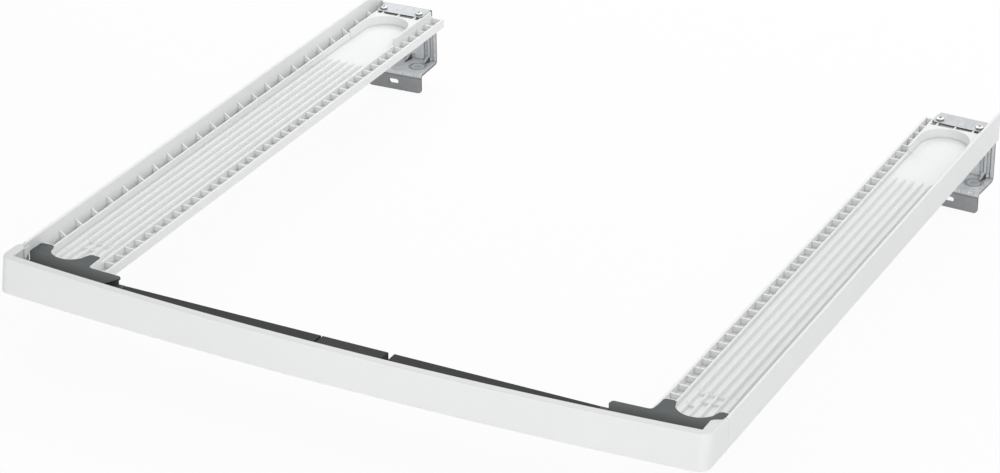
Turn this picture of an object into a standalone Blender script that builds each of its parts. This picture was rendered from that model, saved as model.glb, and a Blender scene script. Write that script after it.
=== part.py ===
"""Stacking kit that joins a tumble dryer to the washing machine under it.

Two ribbed plastic rails lie along the sides of the washing machine's worktop. At the front,
a dark cross bar in three pieces and two dark foot stops join them, and a white bowed trim
covers the front. At the rear, a folded steel bracket on each rail hooks round the worktop's
rear edge and screws to the washing machine's back. The dryer's feet stand in the rails.

Metres, +X to the right seen from the front, +Y to the back, +Z up. Z is zero on the worktop,
and the origin is under the middle of the cross bar. The right-hand pieces are modelled, and
the left-hand ones are their mirror images.
"""
import math

import bmesh
import bpy
from mathutils import Matrix, Vector

# Whole kit
OVERALL_WIDTH = 0.598
RAIL_REAR = 0.5895
GROUND_GAP = 0.0002
ROOT = 0.0005
SEAT_GAP = 0.0003
OVERRUN = 0.002
ARC_STEPS = 6
FRONT_STEPS = 28
BEND_STEPS = 4
CORNER_STEPS = 3
CRESCENT_STEPS = 18
BEAD_SIDES = 10
SEAT_SIDES = 32
SMOOTH_ANGLE = math.radians(28)
BEVEL_PROFILE = 0.5
MERGE = 0.00003

# Rail: its section, from the outer wall towards the middle of the kit
OUTER_WALL = 0.0025
OUTER_WALL_TOP = 0.0254
CHANNEL_WIDTH = 0.0055
RIM = 0.0018
RIM_ROUND = 0.0006
OUTER_RIM_TOP = 0.012
TRAY_WIDTH = 0.0436
TRAY_FLOOR = 0.0055
INNER_RIM_TOP = 0.0087
LADDER_WIDTH = 0.009
INNER_WALL = 0.0022
INNER_WALL_TOP = 0.008
TROUGH_FLOOR = 0.002
WALL_ROUND = 0.0008

# Rail: ribs along the tray, rungs of the ladder, and gussets of the outer wall
RIB_COUNT = 5
RIB_PITCH = 0.0076
RIB_TOP = 0.0089
RIB_BASE_WIDTH = 0.0034
RIB_TOP_WIDTH = 0.0018
RIB_END_INSET = 0.1115
RIB_RAMP = 0.018
RIB_STEP = 0.0005
RIB_STEP_PLACE = 0.078
RUNG_PITCH = 0.014
RUNG = 0.0015
RUNG_TOP = 0.0074
LADDER_START = 0.0395
GUSSET_PITCH = 0.0223
GUSSET = 0.0015
GUSSET_START = 0.0692
GUSSET_TOP = 0.0167
GUSSET_FOOT = 0.0114
END_WALL = 0.002

# Rail: front deck under the foot stop, and the front foot's seat
DECK_TOP = 0.0089
DECK_REAR = 0.0285
RAIL_START = 0.0253
TAB = 0.0013
TAB_START = 0.0205
TAB_END = 0.0268
TAB_TOP = 0.0225
DECK_CORNER = 0.0065
FOOT_SEAT_RADIUS = 0.0195
FOOT_SEAT_DEPTH = 0.0008
STOP_RIM = 0.0009
STOP_RIM_DROP = 0.0004

# Rail: raised rear block with the rear foot's well
BLOCK_LENGTH = 0.0715
BLOCK_TOP = 0.014
BLOCK_STEP = 0.0004
BLOCK_REAR_GAP = 0.0022
WELL_INSET = 0.048
POCKET_WALL = 0.0015
POCKET_DEPTH = 0.0072
POCKET_FLOOR = 0.003
DIVIDER = 0.0014
DIVIDER_PITCH = 0.016
CORE_WIDTH = 0.024
CORE_DEPTH = 0.011

# Rail: pockets and pads of the underside
SKIN = 0.0022
UNDER_END_INSET = 0.016
UNDER_WEB = 0.0018
UNDER_START = 0.0515
UNDER_ROWS = 12
UNDER_MARGIN = 0.0012
PAD_ROW_NUMBERS = (1, 9)
PAD_INSET = 0.0038
PAD_WIDTH = 0.036
PAD_THICKNESS = 0.0026
PAD_CORNER = 0.003
PAD_PLAY = 0.0004

# Front trim
TRIM_FRONT = -0.0235
TRIM_BOW = 0.0107
TRIM_CORNER = 0.009
TRIM_HEIGHT = 0.0279
TRIM_WALL = 0.0025
TRIM_LIP_DEPTH = 0.0067
TRIM_LIP = 0.0022
TRIM_ROUND = 0.0014
TRIM_LIP_EDGE = 0.0004
LEAN_MIDDLE = 0.0025
LEAN_CORNER = 0.0053
RETURN_END = 0.025
RETURN_LEVEL_END = 0.0135
RETURN_LIP_DEPTH = 0.0086
RETURN_LIP_SHARE = 0.6
TRIM_RIB = 0.0016
TRIM_RIB_SHARES = (0.22, 0.5, 0.77, 0.95)

# Cross bar: two bars and the joiner between them
BAR_TOP = 0.012
BAR_BACK = 0.0212
BAR_WALL = 0.0022
BAR_GAP_RIGHT = 0.005
BAR_GAP_LEFT = 0.0013
BAR_CELLS = 5
JOINER_HALF = 0.028
JOINER_FOOT_HALF = 0.008
TONGUE_REACH = 0.017
TONGUE_FRONT = -0.004
TONGUE_BACK = 0.0145
TONGUE_LOW = 0.003
EDGE_ROUND = 0.0006

# Foot stop
STOP_TOP = 0.0168
STOP_PLATE = 0.002
STOP_EDGE = 0.0007
TAIL_REACH = 0.0905
TAIL_PAST_BAR = 0.0065
TAIL_BACK = 0.0252
TAIL_SHOULDER = 0.0198
TAIL_CUT = 0.006
TAIL_CUT_FRONT = 0.0085
CRESCENT_PLACE = 0.0463
LOBE_BACK = 0.0448
LOBE_ROUND = 0.0024
TIP_ROUND = 0.0016
NOTCH_ROUND = 0.0045
INNER_LOBE = 0.0091
CRESCENT_RADIUS = 0.0175
STOP_CUT_SIDE = 0.0087
STOP_CUT_BACK = 0.0292
STOP_CUT_FRONT = 0.017
BOSS_RADIUS = 0.0036
BOSS_LOW = 0.0055
BOSS_PLAY = 0.0004

# Rear bracket: folded steel sheet
SHEET = 0.0015
BRACKET_TURN = math.radians(2.7)
BRACKET_OFFSET = 0.0021
BRACKET_PROUD = 0.0025
BRACKET_BACK_GAP = 0.0008
PLATE_TOP = 0.0142
PLATE_WIDTH = 0.0458
PLATE_DEPTH = 0.0224
PLATE_CORNER = 0.004
BODY_WIDTH = 0.054
SHOULDER = -0.0012
SHELF_BOTTOM = -0.0396
SHELF_DEPTH = 0.032
FLANGE_END = -0.0562
FLANGE_CORNER = 0.0035
BEND = 0.0016
SLOT_LENGTH = 0.0095
SLOT_WIDTH = 0.0045
SLOT_PLACE = -0.0482
SLOT_OFFSET = 0.0009
BEAD_RADIUS = 0.0019
BEAD_RISE = 0.0008
BEAD_PLACES = (0.0165, 0.0225)
BEAD_TOP = -0.0035
BEAD_END = -0.0345
DART_WIDTH = 0.0064
DART_RISE = 0.0052
DART_REACH = 0.0135
DART_TIP = 0.0012
DART_PLACES = (-0.0185, 0.0, 0.0185)
DIMPLE_RADIUS = 0.0042
DIMPLE_DEPTH = 0.0007
DIMPLE_REACH = 0.006
DIMPLE_PLACES = (-0.0205, -0.0095, 0.0095, 0.0205)

# Screws
SHANK_RADIUS = 0.00175
HEAD_RADIUS = 0.0034
HEAD_HEIGHT = 0.0021
HEAD_EDGE = 0.0007
HEAD_CROWN = 0.002
HEAD_SHOULDER = 0.0032
SCREW_POINT = 0.002
SCREW_SIDES = 16
CROSS_LENGTH = 0.0036
CROSS_WIDTH = 0.0009
CROSS_DEPTH = 0.0011
BRACKET_SCREW_LENGTH = 0.0095
BRACKET_SCREW_SPREAD = 0.0178
BRACKET_SCREW_INSET = 0.0165
STOP_SCREW_LENGTH = 0.0105
STOP_SCREW_SPREAD = 0.0115
STOP_SCREW_PLACE = 0.0135
HEAD_PLAY = 0.0004

# Places worked out from the sizes above, all on the right-hand side
HALF = OVERALL_WIDTH / 2
WALL_INSIDE = HALF - OUTER_WALL
RIM_OUTSIDE = WALL_INSIDE - CHANNEL_WIDTH
TRAY_OUT = RIM_OUTSIDE - RIM
TRAY_IN = TRAY_OUT - TRAY_WIDTH
TRAY_MIDDLE = (TRAY_OUT + TRAY_IN) / 2
LADDER_OUT = TRAY_IN - RIM
LADDER_IN = LADDER_OUT - LADDER_WIDTH
RAIL_IN = LADDER_IN - INNER_WALL
RAIL_BOTTOM = GROUND_GAP
CORNER_X = HALF - TRIM_CORNER
RIB_END = RAIL_REAR - RIB_END_INSET
BLOCK_START = RAIL_REAR - BLOCK_LENGTH
WELL_CENTRE = RAIL_REAR - WELL_INSET
UNDER_PITCH = (RAIL_REAR - UNDER_END_INSET - UNDER_START) / UNDER_ROWS
PAD_LENGTH = UNDER_PITCH - UNDER_WEB - 2 * PAD_INSET
BRACKET_CENTRE = TRAY_MIDDLE + BRACKET_OFFSET
BRACKET_BACK = RAIL_REAR + BRACKET_PROUD
TAIL_END = HALF - TAIL_REACH
BAR_OUTER = TAIL_END - TAIL_PAST_BAR
STOP_UNDERSIDE = STOP_TOP - STOP_PLATE
BAR_INNER_RIGHT = JOINER_HALF + BAR_GAP_RIGHT
BAR_INNER_LEFT = JOINER_HALF + BAR_GAP_LEFT
LIP_END = TRIM_WALL + SEAT_GAP
FRONT_RADIUS = (CORNER_X ** 2 + TRIM_BOW ** 2) / (2 * TRIM_BOW)
FRONT_CENTRE = TRIM_FRONT + FRONT_RADIUS
CORNER_Y = FRONT_CENTRE - math.sqrt((FRONT_RADIUS - TRIM_CORNER) ** 2 - CORNER_X ** 2)
FRONT_ANGLE = math.atan2(CORNER_X, FRONT_CENTRE - CORNER_Y)

COLOURS = {
    "white_plastic": ((0.83, 0.85, 0.85, 1), 0.42, 0.0),
    "dark_plastic": ((0.075, 0.082, 0.083, 1), 0.5, 0.0),
    "zinc_steel": ((0.6, 0.62, 0.63, 1), 0.34, 1.0),
    "bright_steel": ((0.72, 0.73, 0.74, 1), 0.22, 1.0),
    "grey_foam": ((0.05, 0.05, 0.05, 1), 0.9, 0.0),
}


def clear_scene():
    for obj in list(bpy.data.objects):
        bpy.data.objects.remove(obj, do_unlink=True)


def material(name):
    found = bpy.data.materials.get(name)
    if found:
        return found
    made = bpy.data.materials.new(name)
    made.use_nodes = True
    colour, roughness, metallic = COLOURS[name]
    shader = made.node_tree.nodes["Principled BSDF"]
    shader.inputs["Base Color"].default_value = colour
    shader.inputs["Roughness"].default_value = roughness
    shader.inputs["Metallic"].default_value = metallic
    return made


def add_object(name, bm):
    """Links the bmesh as a new object, with its faces pointing out."""
    bmesh.ops.recalc_face_normals(bm, faces=bm.faces)
    mesh = bpy.data.meshes.new(name)
    bm.to_mesh(mesh)
    bm.free()
    obj = bpy.data.objects.new(name, mesh)
    bpy.context.scene.collection.objects.link(obj)
    return obj


def loft(name, rings):
    """A closed solid through rings with as many points each, capped at both ends."""
    bm = bmesh.new()
    rows = [[bm.verts.new(point) for point in ring] for ring in rings]
    count = len(rows[0])
    for low, high in zip(rows, rows[1:]):
        for i in range(count):
            j = (i + 1) % count
            bm.faces.new((low[i], low[j], high[j], high[i]))
    bm.faces.new(reversed(rows[0]))
    bm.faces.new(rows[-1])
    return add_object(name, bm)


def prism(name, outline, low, high, axis="Z", edge=0.0):
    """The outline carried from low to high along an axis, its high end's edges rounded by edge."""
    place = {
        "X": lambda a, b, h: (h, a, b),
        "Y": lambda a, b, h: (a, h, b),
        "Z": lambda a, b, h: (a, b, h),
    }[axis]
    bm = bmesh.new()
    bottom = [bm.verts.new(place(a, b, low)) for a, b in outline]
    top = [bm.verts.new(place(a, b, high)) for a, b in outline]
    for i in range(len(outline)):
        j = (i + 1) % len(outline)
        bm.faces.new((bottom[i], bottom[j], top[j], top[i]))
    bm.faces.new(reversed(bottom))
    cap = bm.faces.new(top)
    if edge:
        rims = list(cap.edges)
        bmesh.ops.bevel(bm, geom=rims, offset=edge, segments=2, profile=BEVEL_PROFILE, affect="EDGES")
    return add_object(name, bm)


def boxes(name, corners):
    """One object of many separate boxes, each given by its lowest and highest corner."""
    bm = bmesh.new()
    for low, high in corners:
        size = Vector(high) - Vector(low)
        middle = (Vector(high) + Vector(low)) / 2
        place = Matrix.Translation(middle) @ Matrix.Diagonal((*size, 1.0))
        bmesh.ops.create_cube(bm, size=1.0, matrix=place)
    return add_object(name, bm)


def box(name, low, high):
    return boxes(name, [(low, high)])


def cylinder(name, x, y, radius, low, high, sides):
    outline = []
    for i in range(sides):
        angle = 2 * math.pi * i / sides
        outline.append((x + radius * math.cos(angle), y + radius * math.sin(angle)))
    return prism(name, outline, low, high)


def rounded(corners, steps=ARC_STEPS):
    """The outline through (x, y, radius) corners, each corner with a radius made an arc."""
    outline = []
    for i, (x, y, radius) in enumerate(corners):
        here = Vector((x, y))
        if not radius:
            outline.append((x, y))
            continue
        before = Vector(corners[i - 1][:2]) - here
        after = Vector(corners[(i + 1) % len(corners)][:2]) - here
        half = before.angle(after) / 2
        reach = radius / math.tan(half)
        start = here + before.normalized() * reach
        end = here + after.normalized() * reach
        inward = (before.normalized() + after.normalized()).normalized()
        middle = here + inward * (radius / math.sin(half))
        first = math.atan2(start.y - middle.y, start.x - middle.x)
        last = math.atan2(end.y - middle.y, end.x - middle.x)
        sweep = (last - first + math.pi) % (2 * math.pi) - math.pi
        for k in range(steps + 1):
            angle = first + sweep * k / steps
            outline.append((middle.x + radius * math.cos(angle), middle.y + radius * math.sin(angle)))
    return outline


def arc(x, y, radius, first, last, steps):
    """Points on a circle's arc, from the first angle to the last."""
    points = []
    for k in range(steps + 1):
        angle = first + (last - first) * k / steps
        points.append((x + radius * math.cos(angle), y + radius * math.sin(angle)))
    return points


def combine(obj, tool, operation):
    """Unites, cuts or intersects an object with a tool, which is used up."""
    modifier = obj.modifiers.new(tool.name, "BOOLEAN")
    modifier.operation = operation
    modifier.solver = "EXACT"
    modifier.object = tool
    graph = bpy.context.evaluated_depsgraph_get()
    mesh = bpy.data.meshes.new_from_object(obj.evaluated_get(graph))
    obj.modifiers.clear()
    obj.data = mesh
    bpy.data.objects.remove(tool, do_unlink=True)
    return obj


def unite(obj, *tools):
    for tool in tools:
        combine(obj, tool, "UNION")
    return obj


def cut(obj, *tools):
    for tool in tools:
        combine(obj, tool, "DIFFERENCE")
    return obj


def finish(obj, name, material_name):
    """Names the object, gives it its material, and shades its round faces smooth."""
    obj.name = name
    obj.data.name = name
    obj.data.materials.clear()
    obj.data.materials.append(material(material_name))
    obj.data.shade_smooth()
    obj.data.set_sharp_from_angle(angle=SMOOTH_ANGLE)
    return obj


def mirrored(obj, name):
    """The left-hand twin of a right-hand piece."""
    mesh = obj.data.copy()
    mesh.transform(Matrix.Scale(-1, 4, (1, 0, 0)))
    mesh.flip_normals()
    twin = bpy.data.objects.new(name, mesh)
    mesh.name = name
    bpy.context.scene.collection.objects.link(twin)
    return twin


def both_sides(obj, stem, material_name):
    finish(obj, "right_" + stem, material_name)
    mirrored(obj, "left_" + stem)


def lean(x):
    """How far the trim's top edge lies behind its bottom edge at x."""
    share = min(abs(x) / CORNER_X, 1) ** 2
    return LEAN_MIDDLE + (LEAN_CORNER - LEAN_MIDDLE) * share


def trim_inside(x, z):
    """The trim's inner face in Y, at x and the height z."""
    radius = FRONT_RADIUS - TRIM_WALL
    return FRONT_CENTRE - math.sqrt(radius ** 2 - x ** 2) + lean(x) * z / TRIM_HEIGHT


def behind_trim(x_first, x_last, z, steps):
    """Points just behind the trim's inner face, for a piece that stands up to the height z."""
    points = []
    for k in range(steps + 1):
        x = x_first + (x_last - x_first) * k / steps
        points.append((x, trim_inside(x, z) + SEAT_GAP))
    return points


def trim_stations():
    """Stations along the right half of the trim's outline: place, inward normal, lean and top."""
    stations = []
    steps = FRONT_STEPS // 2
    for k in range(steps + 1):
        angle = FRONT_ANGLE * k / steps
        x = FRONT_RADIUS * math.sin(angle)
        y = FRONT_CENTRE - FRONT_RADIUS * math.cos(angle)
        stations.append((x, y, -math.sin(angle), math.cos(angle), lean(x), TRIM_HEIGHT, TRIM_LIP_DEPTH))
    for k in range(1, ARC_STEPS + 1):
        angle = FRONT_ANGLE + (math.pi / 2 - FRONT_ANGLE) * k / ARC_STEPS
        x = CORNER_X + TRIM_CORNER * math.sin(angle)
        y = CORNER_Y - TRIM_CORNER * math.cos(angle)
        lip = TRIM_LIP_DEPTH + (RETURN_LIP_DEPTH - TRIM_LIP_DEPTH) * k / ARC_STEPS
        stations.append((x, y, -math.sin(angle), math.cos(angle), LEAN_CORNER, TRIM_HEIGHT, lip))
    level = RETURN_LEVEL_END - LEAN_CORNER
    stations.append((HALF, level, -1, 0, LEAN_CORNER, TRIM_HEIGHT, RETURN_LIP_DEPTH))
    for k in range(1, ARC_STEPS + 1):
        share = k / ARC_STEPS
        fall = (1 - math.cos(math.pi * share)) / 2
        y = level + (RETURN_END - level) * share
        top = TRIM_HEIGHT + (OUTER_WALL_TOP - TRIM_HEIGHT) * fall
        lip = RETURN_LIP_DEPTH + (LIP_END - RETURN_LIP_DEPTH) * min(share / RETURN_LIP_SHARE, 1)
        stations.append((HALF, y, -1, 0, LEAN_CORNER * (1 - share), top, lip))
    return stations


def trim_section(station, side):
    """The trim's wall and lip at a station, as points in space, on the right (1) or left (-1)."""
    x, y, inward_x, inward_y, back, top, lip = station
    ring = [(0, GROUND_GAP), (0, top - TRIM_ROUND)]
    for k in range(1, ARC_STEPS + 1):
        angle = math.pi / 2 * k / ARC_STEPS
        ring.append((TRIM_ROUND * (1 - math.cos(angle)), top - TRIM_ROUND * (1 - math.sin(angle))))
    under = top - TRIM_LIP
    ring += [(lip - TRIM_LIP_EDGE, top), (lip, top - TRIM_LIP_EDGE)]
    ring += [(lip, under), (TRIM_WALL, under), (TRIM_WALL, GROUND_GAP)]
    return [
        (side * (x + inward_x * inset), y + inward_y * inset + back * z / TRIM_HEIGHT, z)
        for inset, z in ring
    ]


def make_front_trim():
    """The bowed white trim, lofted round both corners and back along the rails."""
    half = trim_stations()
    rings = [trim_section(station, -1) for station in reversed(half[1:])]
    rings += [trim_section(station, 1) for station in half]
    trim = loft("front_trim", rings)
    low = BAR_TOP + SEAT_GAP
    high = TRIM_HEIGHT - TRIM_LIP * 2 / 3
    for share in TRIM_RIB_SHARES:
        for x in (-share * BAR_OUTER, share * BAR_OUTER):
            back = trim_inside(x, high) - TRIM_WALL + TRIM_LIP_DEPTH - TRIM_RIB
            outline = [
                (trim_inside(x, low) - TRIM_WALL / 2, low), (trim_inside(x, low) + TRIM_RIB, low),
                (back, high), (trim_inside(x, high) - TRIM_WALL / 2, high),
            ]
            unite(trim, prism("trim_rib", outline, x - TRIM_RIB / 2, x + TRIM_RIB / 2, axis="X"))
    finish(trim, "front_trim", "white_plastic")


def rail_section():
    """The rail's section across, as (x, z) points, without ribs, rungs and gussets."""
    return rounded([
        (RAIL_IN, RAIL_BOTTOM, 0),
        (HALF, RAIL_BOTTOM, 0),
        (HALF, OUTER_WALL_TOP, WALL_ROUND),
        (WALL_INSIDE, OUTER_WALL_TOP, WALL_ROUND),
        (WALL_INSIDE, TROUGH_FLOOR, 0),
        (RIM_OUTSIDE, TROUGH_FLOOR, 0),
        (RIM_OUTSIDE, OUTER_RIM_TOP, RIM_ROUND),
        (TRAY_OUT, OUTER_RIM_TOP, RIM_ROUND),
        (TRAY_OUT, TRAY_FLOOR, 0),
        (TRAY_IN, TRAY_FLOOR, 0),
        (TRAY_IN, INNER_RIM_TOP, RIM_ROUND),
        (LADDER_OUT, INNER_RIM_TOP, RIM_ROUND),
        (LADDER_OUT, TROUGH_FLOOR, 0),
        (LADDER_IN, TROUGH_FLOOR, 0),
        (LADDER_IN, INNER_WALL_TOP, RIM_ROUND),
        (RAIL_IN, INNER_WALL_TOP, RIM_ROUND),
    ], steps=CORNER_STEPS)


def rail_rib(number):
    """One long rib of the tray, whose rear end ramps down into the floor."""
    x = TRAY_MIDDLE + (number - (RIB_COUNT - 1) / 2) * RIB_PITCH
    root = TRAY_FLOOR - SKIN / 2

    def ring(y, top):
        base = RIB_BASE_WIDTH / 2
        crown = RIB_TOP_WIDTH / 2
        shoulder = top - crown / 2
        return [
            (x - base, y, root), (x + base, y, root), (x + crown, y, shoulder),
            (x + crown / 2, y, top), (x - crown / 2, y, top), (x - crown, y, shoulder),
        ]

    low_top = TRAY_FLOOR - SKIN / 4
    rings = [
        ring(DECK_REAR - END_WALL, RIB_TOP - RIB_STEP), ring(RIB_STEP_PLACE, RIB_TOP - RIB_STEP),
        ring(RIB_STEP_PLACE + RIB_STEP, RIB_TOP), ring(RIB_END - RIB_RAMP, RIB_TOP), ring(RIB_END, low_top),
    ]
    return loft("rib", rings)


def rungs():
    """The cross rungs between the rail's inner wall and the tray's inner rim."""
    last = RAIL_REAR - END_WALL
    count = math.floor((last - LADDER_START) / RUNG_PITCH)
    places = [LADDER_START + RUNG_PITCH * i for i in range(count)]
    low_x = LADDER_IN - INNER_WALL / 2
    high_x = LADDER_OUT + RIM / 2
    low_z = TROUGH_FLOOR - ROOT
    corners = [((low_x, y, low_z), (high_x, y + RUNG, RUNG_TOP)) for y in places]
    corners.append(((low_x, last, low_z), (high_x, RAIL_REAR, INNER_WALL_TOP - SEAT_GAP)))
    return boxes("rungs", corners)


def gussets():
    """The webs that tie the outer wall to the tray's outer rim, low at the rim and high at the wall."""
    last = RAIL_REAR - END_WALL
    count = math.floor((last - GUSSET_START) / GUSSET_PITCH)
    places = [GUSSET_START + GUSSET_PITCH * i for i in range(count)] + [last]
    bm = bmesh.new()
    low_x = RIM_OUTSIDE - RIM / 2
    high_x = WALL_INSIDE + OUTER_WALL / 2
    low_z = TROUGH_FLOOR - ROOT
    outline = [(low_x, low_z), (high_x, low_z), (high_x, GUSSET_TOP), (low_x, GUSSET_FOOT)]
    for y in places:
        thickness = END_WALL if y == last else GUSSET
        near = [bm.verts.new((x, y, z)) for x, z in outline]
        far = [bm.verts.new((x, y + thickness, z)) for x, z in outline]
        bm.faces.new(near)
        bm.faces.new(reversed(far))
        for i in range(len(outline)):
            j = (i + 1) % len(outline)
            bm.faces.new((near[i], far[i], far[j], near[j]))
    return add_object("gussets", bm)


def front_deck():
    """The low deck under the foot stop, which fits inside the trim's corner."""
    x_out = HALF - TRIM_WALL - SEAT_GAP
    x_corner = x_out - DECK_CORNER
    front = behind_trim(RAIL_IN, x_corner, DECK_TOP, BEND_STEPS)
    outline = front + [
        (x_out, trim_inside(x_corner, DECK_TOP) + SEAT_GAP + DECK_CORNER),
        (x_out, DECK_REAR),
        (RAIL_IN, DECK_REAR),
    ]
    return prism("deck", outline, RAIL_BOTTOM, DECK_TOP)


def seam_tab():
    """The tab behind the end of the trim's return, which lines it up with the rail's outer wall."""
    x_out = WALL_INSIDE - SEAT_GAP
    tab = box("tab", (x_out - TAB, TAB_START, DECK_TOP - OVERRUN), (x_out, TAB_END, TAB_TOP))
    root_low = (x_out - TAB / 2, RAIL_START + SEAT_GAP, DECK_TOP - OVERRUN)
    return unite(tab, box("root", root_low, (WALL_INSIDE + OUTER_WALL / 2, TAB_END, TAB_TOP)))


def rear_block():
    """The raised block round the rear foot's well."""
    inner = LADDER_OUT + BLOCK_STEP
    outer = RIM_OUTSIDE - BLOCK_STEP
    radius = TRAY_WIDTH / 2 - BLOCK_STEP
    rear = RAIL_REAR - BLOCK_REAR_GAP
    well = arc(TRAY_MIDDLE, WELL_CENTRE, radius, math.pi, 0, 3 * ARC_STEPS)
    outline = [(inner, rear), (inner, BLOCK_START), (TRAY_MIDDLE - radius, BLOCK_START)]
    outline += well
    outline += [(TRAY_MIDDLE + radius, BLOCK_START), (outer, BLOCK_START), (outer, rear)]
    return prism("block", outline, TRAY_FLOOR - SKIN / 2, BLOCK_TOP)


def rear_pockets():
    """The open pockets between the well and the bracket's plate."""
    front = WELL_CENTRE + TRAY_WIDTH / 2 + POCKET_WALL
    edges = [TRAY_IN + DIVIDER / 2]
    for k in (-1, 0, 1):
        middle = TRAY_MIDDLE + k * DIVIDER_PITCH
        edges += [middle - DIVIDER / 2, middle + DIVIDER / 2]
    edges.append(TRAY_OUT - DIVIDER / 2)
    corners = []
    for low, high in zip(edges[::2], edges[1::2]):
        corners.append(((low, front, POCKET_FLOOR), (high, front + POCKET_DEPTH, BLOCK_TOP + OVERRUN)))
    return boxes("pockets", corners)


def under_rows():
    """The rows of the underside: each one's number, front and rear."""
    return [
        (i, UNDER_START + UNDER_PITCH * i, UNDER_START + UNDER_PITCH * (i + 1) - UNDER_WEB)
        for i in range(UNDER_ROWS)
    ]


def under_pockets():
    """The pockets that core the tray from below, in two columns, but not where a pad sits."""
    low_x = TRAY_IN + UNDER_MARGIN
    high_x = TRAY_OUT - UNDER_MARGIN
    corners = []
    for number, front, rear in under_rows():
        if number in PAD_ROW_NUMBERS:
            continue
        ceiling = TRAY_FLOOR - SKIN
        corners.append(((low_x, front, -OVERRUN), (TRAY_MIDDLE - UNDER_WEB / 2, rear, ceiling)))
        corners.append(((TRAY_MIDDLE + UNDER_WEB / 2, front, -OVERRUN), (high_x, rear, ceiling)))
    return boxes("under_pockets", corners)


def pad_outline(number, play):
    front = UNDER_START + UNDER_PITCH * number
    middle = front + (UNDER_PITCH - UNDER_WEB) / 2
    x = PAD_WIDTH / 2 + play
    y = PAD_LENGTH / 2 + play
    corner = PAD_CORNER + play
    return rounded([
        (TRAY_MIDDLE - x, middle - y, corner),
        (TRAY_MIDDLE + x, middle - y, corner),
        (TRAY_MIDDLE + x, middle + y, corner),
        (TRAY_MIDDLE - x, middle + y, corner),
    ], steps=CORNER_STEPS)


def bracket_point(across, along):
    """A place in plan on the turned bracket: across its width, and back from its rear wall's face."""
    x = BRACKET_CENTRE + across * math.cos(BRACKET_TURN) + along * math.sin(BRACKET_TURN)
    y = BRACKET_BACK - across * math.sin(BRACKET_TURN) + along * math.cos(BRACKET_TURN)
    return x, y


def turned_outline(across_low, across_high, along_low, along_high):
    return [
        bracket_point(across_low, along_low), bracket_point(across_high, along_low),
        bracket_point(across_high, along_high), bracket_point(across_low, along_high),
    ]


def bracket_screw_places():
    return [
        bracket_point(-BRACKET_SCREW_SPREAD, -BRACKET_SCREW_INSET),
        bracket_point(BRACKET_SCREW_SPREAD, -BRACKET_SCREW_INSET),
    ]


def stop_screw_places():
    return [(TRAY_MIDDLE + spread, STOP_SCREW_PLACE) for spread in (-STOP_SCREW_SPREAD, STOP_SCREW_SPREAD)]


def make_rails():
    rail = prism("rail", rail_section(), RAIL_START, RAIL_REAR, axis="Y")
    unite(rail, rear_block(), front_deck())
    for number in range(RIB_COUNT):
        unite(rail, rail_rib(number))
    unite(rail, rungs(), gussets())
    seat_low = (LADDER_IN, -HALF, DECK_TOP)
    seat_high = (WALL_INSIDE, LOBE_BACK + SEAT_GAP, OUTER_WALL_TOP + OVERRUN)
    cut(rail, box("stop_seat", seat_low, seat_high))
    foot_low = RIB_TOP - FOOT_SEAT_DEPTH
    seat = ("foot_seat", TRAY_MIDDLE, CRESCENT_PLACE, FOOT_SEAT_RADIUS, foot_low, OUTER_RIM_TOP, SEAT_SIDES)
    cut(rail, cylinder(*seat))
    unite(rail, raised_deck())
    cut(rail, rear_pockets())
    plate = PLATE_WIDTH / 2 + SEAT_GAP
    front = -PLATE_DEPTH - SEAT_GAP
    under_plate = PLATE_TOP - SHEET - SEAT_GAP
    outline = turned_outline(-plate, plate, front, PLATE_DEPTH)
    cut(rail, prism("plate_seat", outline, under_plate, OUTER_WALL_TOP + OVERRUN))
    wide = plate + ROOT
    behind = turned_outline(-wide, wide, -SHEET - BRACKET_BACK_GAP, PLATE_DEPTH)
    cut(rail, prism("rear_wall_seat", behind, -OVERRUN, OUTER_WALL_TOP))
    cut(rail, under_pockets(), deck_pockets())
    for number in PAD_ROW_NUMBERS:
        recess = PAD_THICKNESS + SEAT_GAP
        cut(rail, prism("pad_recess", pad_outline(number, PAD_PLAY), -OVERRUN, recess))
    core_rear = RAIL_REAR - BLOCK_REAR_GAP - OUTER_WALL - SHEET
    core_low = (TRAY_MIDDLE - CORE_WIDTH / 2, core_rear - CORE_DEPTH, -OVERRUN)
    core_high = (TRAY_MIDDLE + CORE_WIDTH / 2, core_rear, under_plate - SKIN)
    cut(rail, box("rear_core", core_low, core_high))
    bore = SHANK_RADIUS + SEAT_GAP
    for x, y in bracket_screw_places():
        depth = PLATE_TOP - BRACKET_SCREW_LENGTH - SEAT_GAP
        cut(rail, cylinder("pilot", x, y, bore, depth, OUTER_WALL_TOP, SCREW_SIDES))
    for x, y in stop_screw_places():
        cut(rail, cylinder("pilot", x, y, bore, -OVERRUN, STOP_UNDERSIDE, SCREW_SIDES))
        socket = BOSS_RADIUS + BOSS_PLAY
        cut(rail, cylinder("boss_socket", x, y, socket, BOSS_LOW - SEAT_GAP, STOP_TOP, SCREW_SIDES))
        head = HEAD_RADIUS + HEAD_PLAY
        top = RAIL_BOTTOM + HEAD_HEIGHT + HEAD_PLAY + SEAT_GAP
        cut(rail, cylinder("counterbore", x, y, head, -OVERRUN, top, SCREW_SIDES))
    unite(rail, seam_tab())
    both_sides(rail, "rail", "white_plastic")


def make_pads():
    for place, number in zip(("front", "rear"), PAD_ROW_NUMBERS):
        pad = prism("pad", pad_outline(number, 0), 0, PAD_THICKNESS)
        both_sides(pad, place + "_grip_pad", "grey_foam")


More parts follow.
